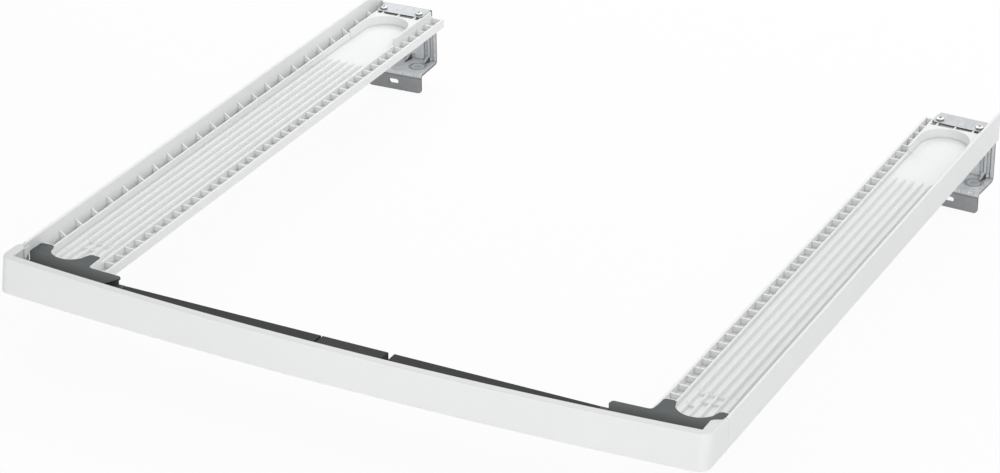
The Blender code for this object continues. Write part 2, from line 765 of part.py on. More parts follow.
def stop_outline():
    """The foot stop seen from above: tail, two lobes and the crescent that the dryer's foot meets."""
    x_out = WALL_INSIDE - SEAT_GAP
    x_cut = x_out - STOP_CUT_SIDE
    lobe_in = TRAY_MIDDLE - CRESCENT_RADIUS - INNER_LOBE
    spread = math.asin((CRESCENT_PLACE - LOBE_BACK) / CRESCENT_RADIUS)
    tip = CRESCENT_RADIUS * math.cos(spread)
    corners = [(x, y, 0) for x, y in behind_trim(TAIL_END + TAIL_CUT, x_cut, STOP_TOP, ARC_STEPS)]
    corners += [
        (x_cut, STOP_CUT_FRONT, STOP_EDGE * 2),
        (x_out, STOP_CUT_BACK, STOP_EDGE * 2),
        (x_out, LOBE_BACK, LOBE_ROUND),
        (TRAY_MIDDLE + tip, LOBE_BACK, TIP_ROUND),
    ]
    crescent = arc(TRAY_MIDDLE, CRESCENT_PLACE, CRESCENT_RADIUS, -spread, spread - math.pi, CRESCENT_STEPS)
    corners += [(x, y, 0) for x, y in crescent[2:-2]]
    corners += [
        (TRAY_MIDDLE - tip, LOBE_BACK, TIP_ROUND),
        (lobe_in, LOBE_BACK, LOBE_ROUND),
        (lobe_in, TAIL_BACK, NOTCH_ROUND),
        (TAIL_END, TAIL_BACK, LOBE_ROUND),
        (TAIL_END, TAIL_SHOULDER, STOP_EDGE),
        (TAIL_END + TAIL_CUT, TAIL_CUT_FRONT, STOP_EDGE),
    ]
    return rounded(corners, steps=BEND_STEPS)


def grown(outline, reach):
    """The outline, drawn anticlockwise, with every point moved out by the reach."""
    moved = []
    for i, (x, y) in enumerate(outline):
        before = Vector(outline[i - 1])
        after = Vector(outline[(i + 1) % len(outline)])
        along = (after - before).normalized()
        moved.append((x + along.y * reach, y - along.x * reach))
    return moved


def raised_deck():
    """The rail's white block under the foot stop, with a thin rim that stands round the stop."""
    rim_top = STOP_TOP - STOP_RIM_DROP
    block = prism("raised_deck", grown(stop_outline(), SEAT_GAP + STOP_RIM), DECK_TOP - OVERRUN, rim_top)
    x_out = WALL_INSIDE - SEAT_GAP
    x_corner = x_out - DECK_CORNER
    inside = behind_trim(RAIL_IN, x_corner, STOP_TOP, ARC_STEPS)
    rear = LOBE_BACK + STOP_RIM + OVERRUN
    inside += [(x_out, inside[-1][1] + DECK_CORNER), (x_out, rear), (RAIL_IN, rear)]
    combine(block, prism("inside_trim", inside, -OVERRUN, TRIM_HEIGHT), "INTERSECT")
    pocket_low = STOP_UNDERSIDE - SEAT_GAP
    cut(block, prism("stop_pocket", grown(stop_outline(), SEAT_GAP), pocket_low, TRIM_HEIGHT))
    low = DECK_TOP - OVERRUN * 2
    foot = cylinder("foot", TRAY_MIDDLE, CRESCENT_PLACE, CRESCENT_RADIUS, low, TRIM_HEIGHT, SEAT_SIDES)
    return cut(block, foot)


def deck_pockets():
    """The pockets that core the front deck from below, on both sides of each boss."""
    edges = [RAIL_IN + INNER_WALL]
    for x, _ in stop_screw_places():
        edges += [x - BOSS_RADIUS - BOSS_PLAY - INNER_WALL, x + BOSS_RADIUS + BOSS_PLAY + INNER_WALL]
    edges.append(WALL_INSIDE - STOP_CUT_SIDE - INNER_WALL)
    front = max(trim_inside(TAIL_END, DECK_TOP), trim_inside(CORNER_X, DECK_TOP)) + INNER_WALL
    rear = CRESCENT_PLACE - CRESCENT_RADIUS - INNER_WALL * 2
    ceiling = STOP_UNDERSIDE - SKIN
    return boxes("deck_pockets", [
        ((low, front, -OVERRUN), (high, rear, ceiling)) for low, high in zip(edges[::2], edges[1::2])
    ])


def make_foot_stops():
    stop = prism("stop", stop_outline(), STOP_UNDERSIDE, STOP_TOP, edge=STOP_EDGE)
    leg_in = RAIL_IN - SEAT_GAP
    foot = behind_trim(TAIL_END + TAIL_CUT, leg_in, STOP_UNDERSIDE, BEND_STEPS)
    foot += [(leg_in, BAR_BACK), (TAIL_END, BAR_BACK), (TAIL_END, TAIL_SHOULDER)]
    foot.append((TAIL_END + TAIL_CUT, TAIL_CUT_FRONT))
    unite(stop, prism("leg", foot, GROUND_GAP, STOP_UNDERSIDE + STOP_PLATE / 2))
    low = behind_trim(BAR_OUTER + SEAT_GAP, leg_in - OVERRUN, STOP_UNDERSIDE, BEND_STEPS)
    rear = BAR_BACK - EDGE_ROUND / 2
    low += [(leg_in - OVERRUN, rear), (BAR_OUTER + SEAT_GAP, rear)]
    unite(stop, prism("toe", low, GROUND_GAP, BAR_TOP))
    hollow_low = (TAIL_END + INNER_WALL * 2, TAIL_CUT_FRONT - OVERRUN, -OVERRUN)
    hollow_high = (leg_in - INNER_WALL, BAR_BACK - INNER_WALL, STOP_UNDERSIDE - INNER_WALL)
    tongue_low = (BAR_OUTER - TONGUE_REACH, TONGUE_FRONT, TONGUE_LOW)
    tongue_high = (BAR_OUTER + TONGUE_REACH / 2, TONGUE_BACK, BAR_TOP - BAR_WALL - SEAT_GAP)
    unite(stop, box("tongue", tongue_low, tongue_high))
    cut(stop, box("leg_hollow", hollow_low, hollow_high))
    bore = SHANK_RADIUS + SEAT_GAP
    tip = RAIL_BOTTOM + HEAD_HEIGHT + STOP_SCREW_LENGTH + SEAT_GAP * 2
    boss_top = STOP_UNDERSIDE + STOP_PLATE / 2
    for x, y in stop_screw_places():
        unite(stop, cylinder("boss", x, y, BOSS_RADIUS, BOSS_LOW, boss_top, SCREW_SIDES))
        cut(stop, cylinder("pilot", x, y, bore, BOSS_LOW - OVERRUN, tip, SCREW_SIDES))
    both_sides(stop, "foot_stop", "dark_plastic")


def make_bar(name, side, x_inner):
    """One bar of the cross bar: a channel that is open below, with cross webs and open ends."""
    front = behind_trim(x_inner, BAR_OUTER, BAR_TOP, ARC_STEPS)
    outline = front + [(BAR_OUTER, BAR_BACK), (x_inner, BAR_BACK)]
    bar = prism(name, outline, GROUND_GAP, BAR_TOP, edge=EDGE_ROUND)
    first = x_inner - OVERRUN
    cell = (BAR_OUTER - x_inner) / BAR_CELLS
    corners = []
    for i in range(BAR_CELLS):
        low = first if i == 0 else x_inner + cell * i + BAR_WALL / 2
        high = BAR_OUTER + OVERRUN if i == BAR_CELLS - 1 else x_inner + cell * (i + 1) - BAR_WALL / 2
        inside = max(trim_inside(low, BAR_TOP), trim_inside(min(high, BAR_OUTER), BAR_TOP))
        near = inside + SEAT_GAP + BAR_WALL
        corners.append(((low, near, -OVERRUN), (high, BAR_BACK - BAR_WALL, BAR_TOP - BAR_WALL)))
    cut(bar, boxes("cells", corners))
    if side < 0:
        twin = mirrored(bar, name)
        bpy.data.objects.remove(bar, do_unlink=True)
        bar = twin
    finish(bar, name, "dark_plastic")


def make_joiner():
    """The block between the bars, with a tongue into each of them and a foot under its middle."""
    front = behind_trim(-JOINER_HALF, JOINER_HALF, BAR_TOP, BEND_STEPS)
    outline = front + [(JOINER_HALF, BAR_BACK), (-JOINER_HALF, BAR_BACK)]
    joiner = prism("joiner", outline, GROUND_GAP, BAR_TOP, edge=EDGE_ROUND)
    near = trim_inside(JOINER_HALF, BAR_TOP) + SEAT_GAP + BAR_WALL
    far = BAR_BACK - BAR_WALL
    foot_low = (-JOINER_FOOT_HALF, near, 0)
    foot_high = (JOINER_FOOT_HALF, far, GROUND_GAP * 2)
    unite(joiner, box("foot", foot_low, foot_high))
    corners = []
    for low, high in ((-JOINER_HALF, -JOINER_FOOT_HALF), (JOINER_FOOT_HALF, JOINER_HALF)):
        corner = (low + BAR_WALL, near, -OVERRUN)
        corners.append((corner, (high - BAR_WALL, far, BAR_TOP - BAR_WALL)))
    cut(joiner, boxes("joiner_cells", corners))
    reach = max(BAR_INNER_RIGHT, BAR_INNER_LEFT) + TONGUE_REACH
    ceiling = BAR_TOP - BAR_WALL - SEAT_GAP
    for side in (-1, 1):
        ends = sorted((side * (JOINER_HALF - BAR_WALL / 2), side * reach))
        low = (ends[0], TONGUE_FRONT, TONGUE_LOW)
        high = (ends[1], TONGUE_BACK, ceiling)
        unite(joiner, box("tongue", low, high))
    finish(joiner, "cross_bar_joiner", "dark_plastic")


def sheet_outline(path, radii):
    """The outline of a folded sheet whose one face follows the path, with the bends made arcs."""
    corners = [(y, z, radius) for (y, z), radius in zip(path, radii)]
    face = rounded(corners, steps=BEND_STEPS)
    other = []
    for i, point in enumerate(face):
        before = Vector(face[max(i - 1, 0)])
        after = Vector(face[min(i + 1, len(face) - 1)])
        along = (after - before).normalized()
        other.append((point[0] + along.y * SHEET, point[1] - along.x * SHEET))
    return face + other[::-1]


def corner_cutter(name, place, toward, radius, low, high, axis):
    """What rounds off one corner: the square at the corner, less a quarter circle."""
    (x, y), (sign_x, sign_y) = place, toward
    middle_x = x + sign_x * radius
    middle_y = y + sign_y * radius
    outline = [(x - sign_x * OVERRUN, y - sign_y * OVERRUN), (middle_x, y - sign_y * OVERRUN)]
    for k in range(ARC_STEPS + 1):
        angle = math.pi / 2 * k / ARC_STEPS
        point_x = middle_x - sign_x * radius * math.sin(angle)
        outline.append((point_x, middle_y - sign_y * radius * math.cos(angle)))
    outline.append((x - sign_x * OVERRUN, middle_y))
    return prism(name, outline, low, high, axis=axis)


def make_brackets():
    """The steel bracket, folded as a hook: plate on the rail, wall, shelf under the worktop, flange."""
    path = [
        (-PLATE_DEPTH, PLATE_TOP), (0, PLATE_TOP), (0, SHELF_BOTTOM),
        (-SHELF_DEPTH, SHELF_BOTTOM), (-SHELF_DEPTH, FLANGE_END),
    ]
    section = sheet_outline(path, (0, BEND + SHEET, BEND + SHEET, BEND, 0))
    half = BODY_WIDTH / 2
    bracket = prism("bracket", section, -half, half, axis="X")
    neck = PLATE_WIDTH / 2
    top = PLATE_TOP + OVERRUN
    reach = PLATE_DEPTH + OVERRUN
    side = half + OVERRUN
    cut(bracket, box("neck_cut", (neck, -reach, SHOULDER), (side, reach, top)))
    cut(bracket, box("neck_cut", (-side, -reach, SHOULDER), (-neck, reach, top)))
    for sign in (-1, 1):
        corner = (sign * neck, -PLATE_DEPTH)
        cut(bracket, corner_cutter("plate_corner", corner, (-sign, 1), PLATE_CORNER, 0, top, "Z"))
        flange_low = -SHELF_DEPTH - SHEET - OVERRUN
        flange_high = -SHELF_DEPTH + OVERRUN
        corner = (sign * half, FLANGE_END)
        reach = (FLANGE_CORNER, flange_low, flange_high)
        cut(bracket, corner_cutter("flange_corner", corner, (-sign, 1), *reach, "Y"))
    for across in BEAD_PLACES:
        for x in (-across, across):
            unite(bracket, bead("bead", x, BEAD_RADIUS, 0))
            cut(bracket, bead("groove", x, BEAD_RADIUS, SHEET))
    for across in DART_PLACES:
        unite(bracket, dart(across))
    for across in DIMPLE_PLACES:
        cut(bracket, dimple(across))
    ends = SLOT_LENGTH / 2 - SLOT_WIDTH / 2
    right_end = SLOT_OFFSET + ends
    left_end = SLOT_OFFSET - ends
    slot = arc(right_end, SLOT_PLACE, SLOT_WIDTH / 2, -math.pi / 2, math.pi / 2, ARC_STEPS)
    slot += arc(left_end, SLOT_PLACE, SLOT_WIDTH / 2, math.pi / 2, 3 * math.pi / 2, ARC_STEPS)
    cut(bracket, prism("slot", slot, flange_low, flange_high, axis="Y"))
    hole = SHANK_RADIUS + SEAT_GAP
    for x in (-BRACKET_SCREW_SPREAD, BRACKET_SCREW_SPREAD):
        cut(bracket, cylinder("hole", x, -BRACKET_SCREW_INSET, hole, 0, top, SCREW_SIDES))
    place = Matrix.Translation((BRACKET_CENTRE, BRACKET_BACK, 0)) @ Matrix.Rotation(-BRACKET_TURN, 4, "Z")
    bracket.data.transform(place)
    both_sides(bracket, "bracket", "zinc_steel")


def dart(across):
    """A pressed ridge that stiffens the bend between the wall and the shelf."""
    floor = SHELF_BOTTOM + SHEET / 2

    def ring(back, width, rise):
        low = (across - width, back, floor)
        high = (across + width, back, floor)
        return [low, high, (across + width / 2, back, floor + rise), (across - width / 2, back, floor + rise)]

    half = DART_WIDTH / 2
    wide_end = ring(-SHEET / 2, half, SHEET / 2 + DART_RISE)
    return loft("dart", [ring(-DART_REACH, DART_TIP / 2, SHEET / 3), wide_end])


def dimple(across):
    """The cutter of one of the dimples pressed across the bend between the shelf and the flange."""
    outline = arc(across, 0, DIMPLE_RADIUS, 0, 2 * math.pi, BEAD_SIDES)[:-1]
    cutter = prism("dimple", outline, -DIMPLE_REACH, DIMPLE_REACH)
    away = (BEND + SHEET + DIMPLE_RADIUS - DIMPLE_DEPTH) / math.sqrt(2)
    centre = (0, BEND - SHELF_DEPTH - away, SHELF_BOTTOM - BEND + away)
    cutter.data.transform(Matrix.Translation(centre) @ Matrix.Rotation(math.radians(-45), 4, "X"))
    return cutter


def bead(name, across, radius, depth):
    """An upright pressed bead of the bracket's wall, tapered at both ends, set back by depth."""
    back = BEAD_RISE - radius - depth
    rings = []
    for z, share in ((BEAD_END - radius, 0), (BEAD_END, 1), (BEAD_TOP, 1), (BEAD_TOP + radius, 0)):
        shift = (BEAD_RISE + SEAT_GAP) * (1 - share)
        points = arc(across, back - shift, radius, 0, 2 * math.pi, BEAD_SIDES)[:-1]
        rings.append([(x, y, z) for x, y in points])
    return loft(name, rings)


def screw(name, x, y, seat, direction, length):
    """A pan-head screw: its head's underside on seat, its point length away, against direction."""
    shank = SHANK_RADIUS
    profile = [
        (0, HEAD_HEIGHT), (HEAD_CROWN, HEAD_HEIGHT), (HEAD_SHOULDER, HEAD_HEIGHT - HEAD_EDGE),
        (HEAD_RADIUS, HEAD_EDGE), (HEAD_RADIUS, 0), (shank, 0), (shank, SCREW_POINT - length), (0, -length),
    ]
    bm = bmesh.new()
    verts = [bm.verts.new((radius, 0, z)) for radius, z in profile]
    edges = [bm.edges.new(pair) for pair in zip(verts, verts[1:])]
    turned = {"axis": (0, 0, 1), "cent": (0, 0, 0), "steps": SCREW_SIDES, "angle": 2 * math.pi}
    bmesh.ops.spin(bm, geom=verts + edges, **turned)
    bmesh.ops.remove_doubles(bm, verts=bm.verts, dist=MERGE)
    made = add_object(name, bm)
    low = HEAD_HEIGHT - CROSS_DEPTH
    long = CROSS_LENGTH / 2
    thin = CROSS_WIDTH / 2
    for half_x, half_y in ((long, thin), (thin, long)):
        cut(made, box("cross", (-half_x, -half_y, low), (half_x, half_y, HEAD_HEIGHT + OVERRUN)))
    turn = Matrix.Identity(4) if direction > 0 else Matrix.Rotation(math.pi, 4, "X")
    made.data.transform(Matrix.Translation((x, y, seat)) @ turn)
    return made


def make_screws():
    for (x, y), place in zip(bracket_screw_places(), ("inner", "outer")):
        made = screw("screw", x, y, PLATE_TOP + SEAT_GAP, 1, BRACKET_SCREW_LENGTH)
        both_sides(made, place + "_bracket_screw", "bright_steel")
    seat = RAIL_BOTTOM + HEAD_HEIGHT + HEAD_PLAY
    for (x, y), place in zip(stop_screw_places(), ("inner", "outer")):
        made = screw("screw", x, y, seat, -1, STOP_SCREW_LENGTH)
        both_sides(made, place + "_stop_screw", "bright_steel")


def main():
    clear_scene()
    make_rails()
    make_pads()
    make_front_trim()
    make_foot_stops()
    make_bar("right_cross_bar", 1, BAR_INNER_RIGHT)
    make_bar("left_cross_bar", -1, BAR_INNER_LEFT)
    make_joiner()
    make_brackets()
    make_screws()


main()
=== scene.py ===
"""Finishes, small details, floor, light and camera of the washer dryer stacking kit."""

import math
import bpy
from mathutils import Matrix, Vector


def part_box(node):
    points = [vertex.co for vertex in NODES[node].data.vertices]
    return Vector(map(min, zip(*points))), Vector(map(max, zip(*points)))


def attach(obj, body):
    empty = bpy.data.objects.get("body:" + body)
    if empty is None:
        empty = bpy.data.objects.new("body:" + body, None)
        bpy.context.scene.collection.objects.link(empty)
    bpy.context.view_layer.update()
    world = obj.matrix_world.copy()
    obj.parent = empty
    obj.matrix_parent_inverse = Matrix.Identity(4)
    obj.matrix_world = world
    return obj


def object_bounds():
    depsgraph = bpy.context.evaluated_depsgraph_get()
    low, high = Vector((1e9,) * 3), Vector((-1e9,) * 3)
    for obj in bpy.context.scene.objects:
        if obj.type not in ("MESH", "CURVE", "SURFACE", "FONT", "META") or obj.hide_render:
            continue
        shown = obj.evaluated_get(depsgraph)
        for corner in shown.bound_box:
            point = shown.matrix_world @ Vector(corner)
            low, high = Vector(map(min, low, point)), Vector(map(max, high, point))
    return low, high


bl_info = {
    "name": "Stacking Kit Finish",
    "version": (1, 0, 0),
    "blender": (4, 5, 0),
    "location": "View3D > Sidebar > Stacking Kit",
    "description": "Finishes the stacking kit's pieces and sets its stage",
    "category": "Object",
}

import bpy
from mathutils import Matrix, Vector

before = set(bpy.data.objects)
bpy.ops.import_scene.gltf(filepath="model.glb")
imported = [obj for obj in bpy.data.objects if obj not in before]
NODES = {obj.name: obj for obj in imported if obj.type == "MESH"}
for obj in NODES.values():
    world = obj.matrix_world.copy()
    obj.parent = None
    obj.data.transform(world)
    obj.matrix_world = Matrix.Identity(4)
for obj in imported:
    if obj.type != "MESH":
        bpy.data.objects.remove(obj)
CAD_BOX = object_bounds()
BODY = "root"
SIDES = (("right", 1), ("left", -1))

# Rays that look for a rounded edge, and for a crease, at each point that is shaded
EDGE_SAMPLES = 6
CREASE_SAMPLES = 8

# Depth of each finish's relief, in metres
RAIL_RELIEF = 0.00005
TRIM_RELIEF = 0.00003
DARK_RELIEF = 0.00005
ZINC_RELIEF = 0.00003
SCREW_RELIEF = 0.000012
FOAM_RELIEF = 0.00018

# Changes in a metre along X, Y and Z of the flow lines, rolling streaks and turning marks
RAIL_FLOW = (40, 2.5, 40)
TRIM_FLOW = (2.5, 40, 40)
ROLLING_STREAKS = (620, 620, 26)
TURNING_MARKS = (900, 900, 6000)

# Painted light and shade on the zinc, from dark to full, at shares of a bracket's height: each face is made
# lighter or darker as the light falls on it
ZINC_PAINTED_LIGHT_SHARES = (
    # Flange
    (0.192, 0.2),
    # Painted shade in the fold under the shelf
    (0.202, 0.0),
    (0.212, 0.0),
    # Shelf
    (0.226, 0.8),
    (0.245, 1.0),
    (0.259, 1.0),
    # Painted shade in the fold at the shelf's back
    (0.266, 0.3),
    (0.278, 0.3),
    # Upright wall
    (0.288, 0.9),
    (0.9, 0.85),
    # Plate
    (0.96, 0.64),
)

# A swage's sides, its flank's run for each unit of rise, and its dish's depth as a share of its rise
SWAGE_SIDES = 48
FLANK_RUN = 2
DISH_SHARE = 0.8

# Webs of a tray: valley in rib pitches from the middle rib, and place along the rail in metres
WEB_PLACES = ((-1.5, 0.0775), (-0.5, 0.078), (0.5, 0.078), (-0.5, 0.066), (0.5, 0.067), (-1.5, 0.058))
# Width of a web's crest as a share of its foot's
WEB_CREST_SHARE = 0.6
# A new piece's top faces are those whose normal's Z is over this
TOP_NORMAL = 0.9
# Widest angle between two faces, in degrees, that a new piece's shading smooths over
SMOOTH_ANGLE = 30

FLOOR_WIDTH = 12
FLOOR_MIDDLE = (0, 0.3)
FLOOR_GAP = 0.0004
VIEW_END = 50
# Width of the camera's sensor in millimetres
SENSOR_WIDTH = 36
# Where each lamp stands
LAMP_PLACES = {
    "front_lamp": (-0.2, -0.8, 0.25),
    "corner_lamp": (1.6, -1.5, 0.9),
    "side_lamp": (1.4, -0.15, 1.75),
    "rear_lamp": (0.35, 1.15, 0.75),
    "left_rear_lamp": (-0.6, 1.2, 0.9),
}
# Points that the lamps face
TRIM_MIDDLE = (-0.1, 0, 0)
KIT_MIDDLE = (0, 0.25, 0)
LEFT_TRAY_REAR = (-0.28, 0.5, 0)


class FinishSettings(bpy.types.PropertyGroup):
    white: bpy.props.FloatVectorProperty(
        name="White plastic", description="Colour of the rails and the trim",
        subtype="COLOR", size=3, min=0, max=1, default=(0.856, 0.863, 0.862),
    )
    dark: bpy.props.FloatVectorProperty(
        name="Dark plastic", description="Colour of the foot stops",
        subtype="COLOR", size=3, min=0, max=1, default=(0.074, 0.083, 0.084),
    )
    bar: bpy.props.FloatVectorProperty(
        name="Bar plastic", description="Colour of the cross bar",
        subtype="COLOR", size=3, min=0, max=1, default=(0.029, 0.03, 0.03),
    )
    steel: bpy.props.FloatVectorProperty(
        name="Zinc", description="Colour of the brackets' zinc coat",
        subtype="COLOR", size=3, min=0, max=1, default=(0.8, 0.825, 0.85),
    )
    screw: bpy.props.FloatVectorProperty(
        name="Screw steel", description="Colour of the screws",
        subtype="COLOR", size=3, min=0, max=1, default=(0.82, 0.83, 0.84),
    )
    foam: bpy.props.FloatVectorProperty(
        name="Pad foam", description="Colour of the grip pads",
        subtype="COLOR", size=3, min=0, max=1, default=(0.035, 0.036, 0.038),
    )
    # Painted shade in the white plastic's creases: how far it reaches
    crease_shade_reach: bpy.props.FloatProperty(
        name="Crease reach", description="How far the darker tone of a crease reaches from its corner",
        unit="LENGTH", min=0, max=0.02, default=0.002,
    )
    # Painted shadow of the trim's lip on the foot stops: how far it reaches, and where the lip's edge runs
    lip_shadow_reach: bpy.props.FloatProperty(
        name="Shelter reach", description="How far behind the trim's lip a stop is darker",
        unit="LENGTH", min=0.001, max=0.1, default=0.014,
    )
    lip_place: bpy.props.FloatProperty(
        name="Lip place", description="Where the trim's lip would end at the kit's middle, along the kit",
        unit="LENGTH", default=-0.0062,
    )
    lip_slope: bpy.props.FloatProperty(
        name="Lip slope", description="How far the lip's edge goes back for each metre to the side",
        default=0.0783,
    )
    # Painted shade in the white plastic's creases: how dark it is
    crease_shade_tone: bpy.props.FloatProperty(
        name="Crease tone", description="How dark the creases of the white plastic are",
        subtype="FACTOR", min=0, max=1, default=0.46,
    )
    # Also the width of the painted highlights along the edges
    edge_radius: bpy.props.FloatProperty(
        name="Edge rounding", description="Radius of the moulded edges as the light shows them",
        unit="LENGTH", min=0, max=0.002, default=0.00035,
    )
    grain_pitch: bpy.props.FloatProperty(
        name="Plastic grain", description="Distance between the bumps of the moulded grain",
        unit="LENGTH", min=0.0001, max=0.01, default=0.0011,
    )
    crystal_width: bpy.props.FloatProperty(
        name="Crystal width", description="Width of the crystals in the zinc coat",
        unit="LENGTH", min=0.0005, max=0.02, default=0.0045,
    )


class PieceSettings(bpy.types.PropertyGroup):
    tray_middle: bpy.props.FloatProperty(
        name="Tray middle", description="From the kit's middle to a tray's middle rib",
        unit="LENGTH", default=0.2674,
    )
    rib_pitch: bpy.props.FloatProperty(
        name="Rib pitch", description="From one tray rib to the next", unit="LENGTH", default=0.0076,
    )
    web_length: bpy.props.FloatProperty(
        name="Web length", description="Length of a web across its valley", unit="LENGTH", default=0.0052,
    )
    web_width: bpy.props.FloatProperty(
        name="Web width", description="Width of a web at its foot", unit="LENGTH", default=0.0012,
    )
    web_low: bpy.props.FloatProperty(
        name="Web foot", description="Height of the tray's floor", unit="LENGTH", default=0.0054,
    )
    web_rise: bpy.props.FloatProperty(
        name="Web rise", description="Height of a web over the tray's floor", unit="LENGTH", default=0.0024,
    )
    swage_radius: bpy.props.FloatProperty(
        name="Swage radius", description="Radius of the shelf's swage", unit="LENGTH", default=0.0092,
    )
    swage_width: bpy.props.FloatProperty(
        name="Swage width", description="Width of the swage's raised ring", unit="LENGTH", default=0.0013,
    )
    swage_rise: bpy.props.FloatProperty(
        name="Swage rise", description="Height of the swage over the shelf", unit="LENGTH", default=0.0008,
    )
    swage_aside: bpy.props.FloatProperty(
        name="Swage place", description="From the bracket's middle to the swage's",
        unit="LENGTH", default=0.0155,
    )
    swage_inset: bpy.props.FloatProperty(
        name="Swage inset", description="From the bracket's back to the swage's middle",
        unit="LENGTH", default=0.0175,
    )
    shelf_height: bpy.props.FloatProperty(
        name="Shelf height", description="From the flange's end up to the top of the shelf",
        unit="LENGTH", default=0.0181,
    )


class StageSettings(bpy.types.PropertyGroup):
    """Camera, light and floor."""

    yaw: bpy.props.FloatProperty(
        name="Camera turn", description="Turn of the view to the left of the kit's rear",
        subtype="ANGLE", default=0.4829005,
    )
    pitch: bpy.props.FloatProperty(
        name="Camera dip", description="How far the view looks down",
        subtype="ANGLE", default=0.476372,
    )
    roll: bpy.props.FloatProperty(
        name="Camera roll", description="Turn of the camera about its own view",
        subtype="ANGLE", default=0.0081174,
    )
    place: bpy.props.FloatVectorProperty(
        name="Camera place", description="Where the camera stands",
        subtype="TRANSLATION", unit="LENGTH", default=(1.049437, -1.747815, 1.159758),
    )
    lens: bpy.props.FloatProperty(
        name="Lens", description="Focal length on a 36 mm wide sensor",
        unit="CAMERA", default=114.4576,
    )
    shift: bpy.props.FloatVectorProperty(
        name="Camera shift", description="Shift of the picture, in shares of its width",
        size=2, default=(-0.0005, 0.0005),
    )
    sky: bpy.props.FloatProperty(
        name="Sky", description="Strength of the even light from all round", min=0, max=2, default=0.5,
    )
    front: bpy.props.FloatProperty(
        name="Front lamp", description="Power of the low lamp before the trim",
        unit="POWER", min=0, default=1.35,
    )
    corner: bpy.props.FloatProperty(
        name="Corner lamp", description="Power of the lamp off the front right corner",
        unit="POWER", min=0, default=11.5,
    )
    side: bpy.props.FloatProperty(
        name="Side lamp", description="Power of the lamp above the right", unit="POWER", min=0, default=9.5,
    )
    rear: bpy.props.FloatProperty(
        name="Rear lamp", description="Power of the lamp behind the kit's middle",
        unit="POWER", min=0, default=2.24,
    )
    left_rear: bpy.props.FloatProperty(
        name="Left rear lamp", description="Power of the lamp behind the left rail",
        unit="POWER", min=0, default=4.16,
    )
    wide: bpy.props.FloatProperty(
        name="Wide lamp", description="Width of the corner and side lamps",
        unit="LENGTH", min=0.1, default=1.6,
    )
    narrow: bpy.props.FloatProperty(
        name="Narrow lamp", description="Width of the rear lamps", unit="LENGTH", min=0.1, default=0.8,
    )
    small: bpy.props.FloatProperty(
        name="Small lamp", description="Width of the front lamp", unit="LENGTH", min=0.1, default=0.4,
    )
    floor_glow: bpy.props.FloatProperty(
        name="Floor glow", description="Share of plain white in what the camera sees of the floor",
        subtype="FACTOR", min=0, max=1, default=0.92,
    )


class Wire:
    """A socket in a node tree. Sums with it add Math nodes."""

    def __init__(self, nodes, socket):
        self.nodes = nodes
        self.socket = socket

    def math(self, operation, first, second):
        """The result of a Math node on two wires or numbers."""
        return self.nodes.node("ShaderNodeMath", {"operation": operation}, {0: first, 1: second})

    def __add__(self, other):
        return self.math("ADD", self, other)

    __radd__ = __add__

    def __sub__(self, other):
        return self.math("SUBTRACT", self, other)

    def __rsub__(self, other):
        return self.math("SUBTRACT", other, self)

    def __mul__(self, other):
        return self.math("MULTIPLY", self, other)

    __rmul__ = __mul__

    def __abs__(self):
        return self.nodes.node("ShaderNodeMath", {"operation": "ABSOLUTE"}, {0: self})


class Nodes:
    """The nodes of a material or of the world."""

    def __init__(self, tree):
        self.tree = tree

    def feed(self, socket, value):
        """Gives a socket a wire or a plain value."""
        if isinstance(value, Wire):
            self.tree.links.new(value.socket, socket)
        else:
            socket.default_value = value

    def node(self, kind, settings, inputs, output=0):
        """Adds a node with its settings, feeds its sockets, and gives back one of its outputs."""
        made = self.tree.nodes.new(kind)
        for name, value in settings.items():
            if name == "stops":
                fill_ramp(made.color_ramp.elements, value)
            else:
                setattr(made, name, value)
        for name, value in inputs.items():
            self.feed(made.inputs[name], value)
        return Wire(self, made.outputs[output])


def fill_ramp(elements, stops):
    """Gives a colour ramp its stops, each a position and a shade of grey."""
    while len(elements) < len(stops):
        elements.new(1)
    for element, (position, shade) in zip(elements, stops):
        element.position = position
        element.color = (shade, shade, shade, 1)


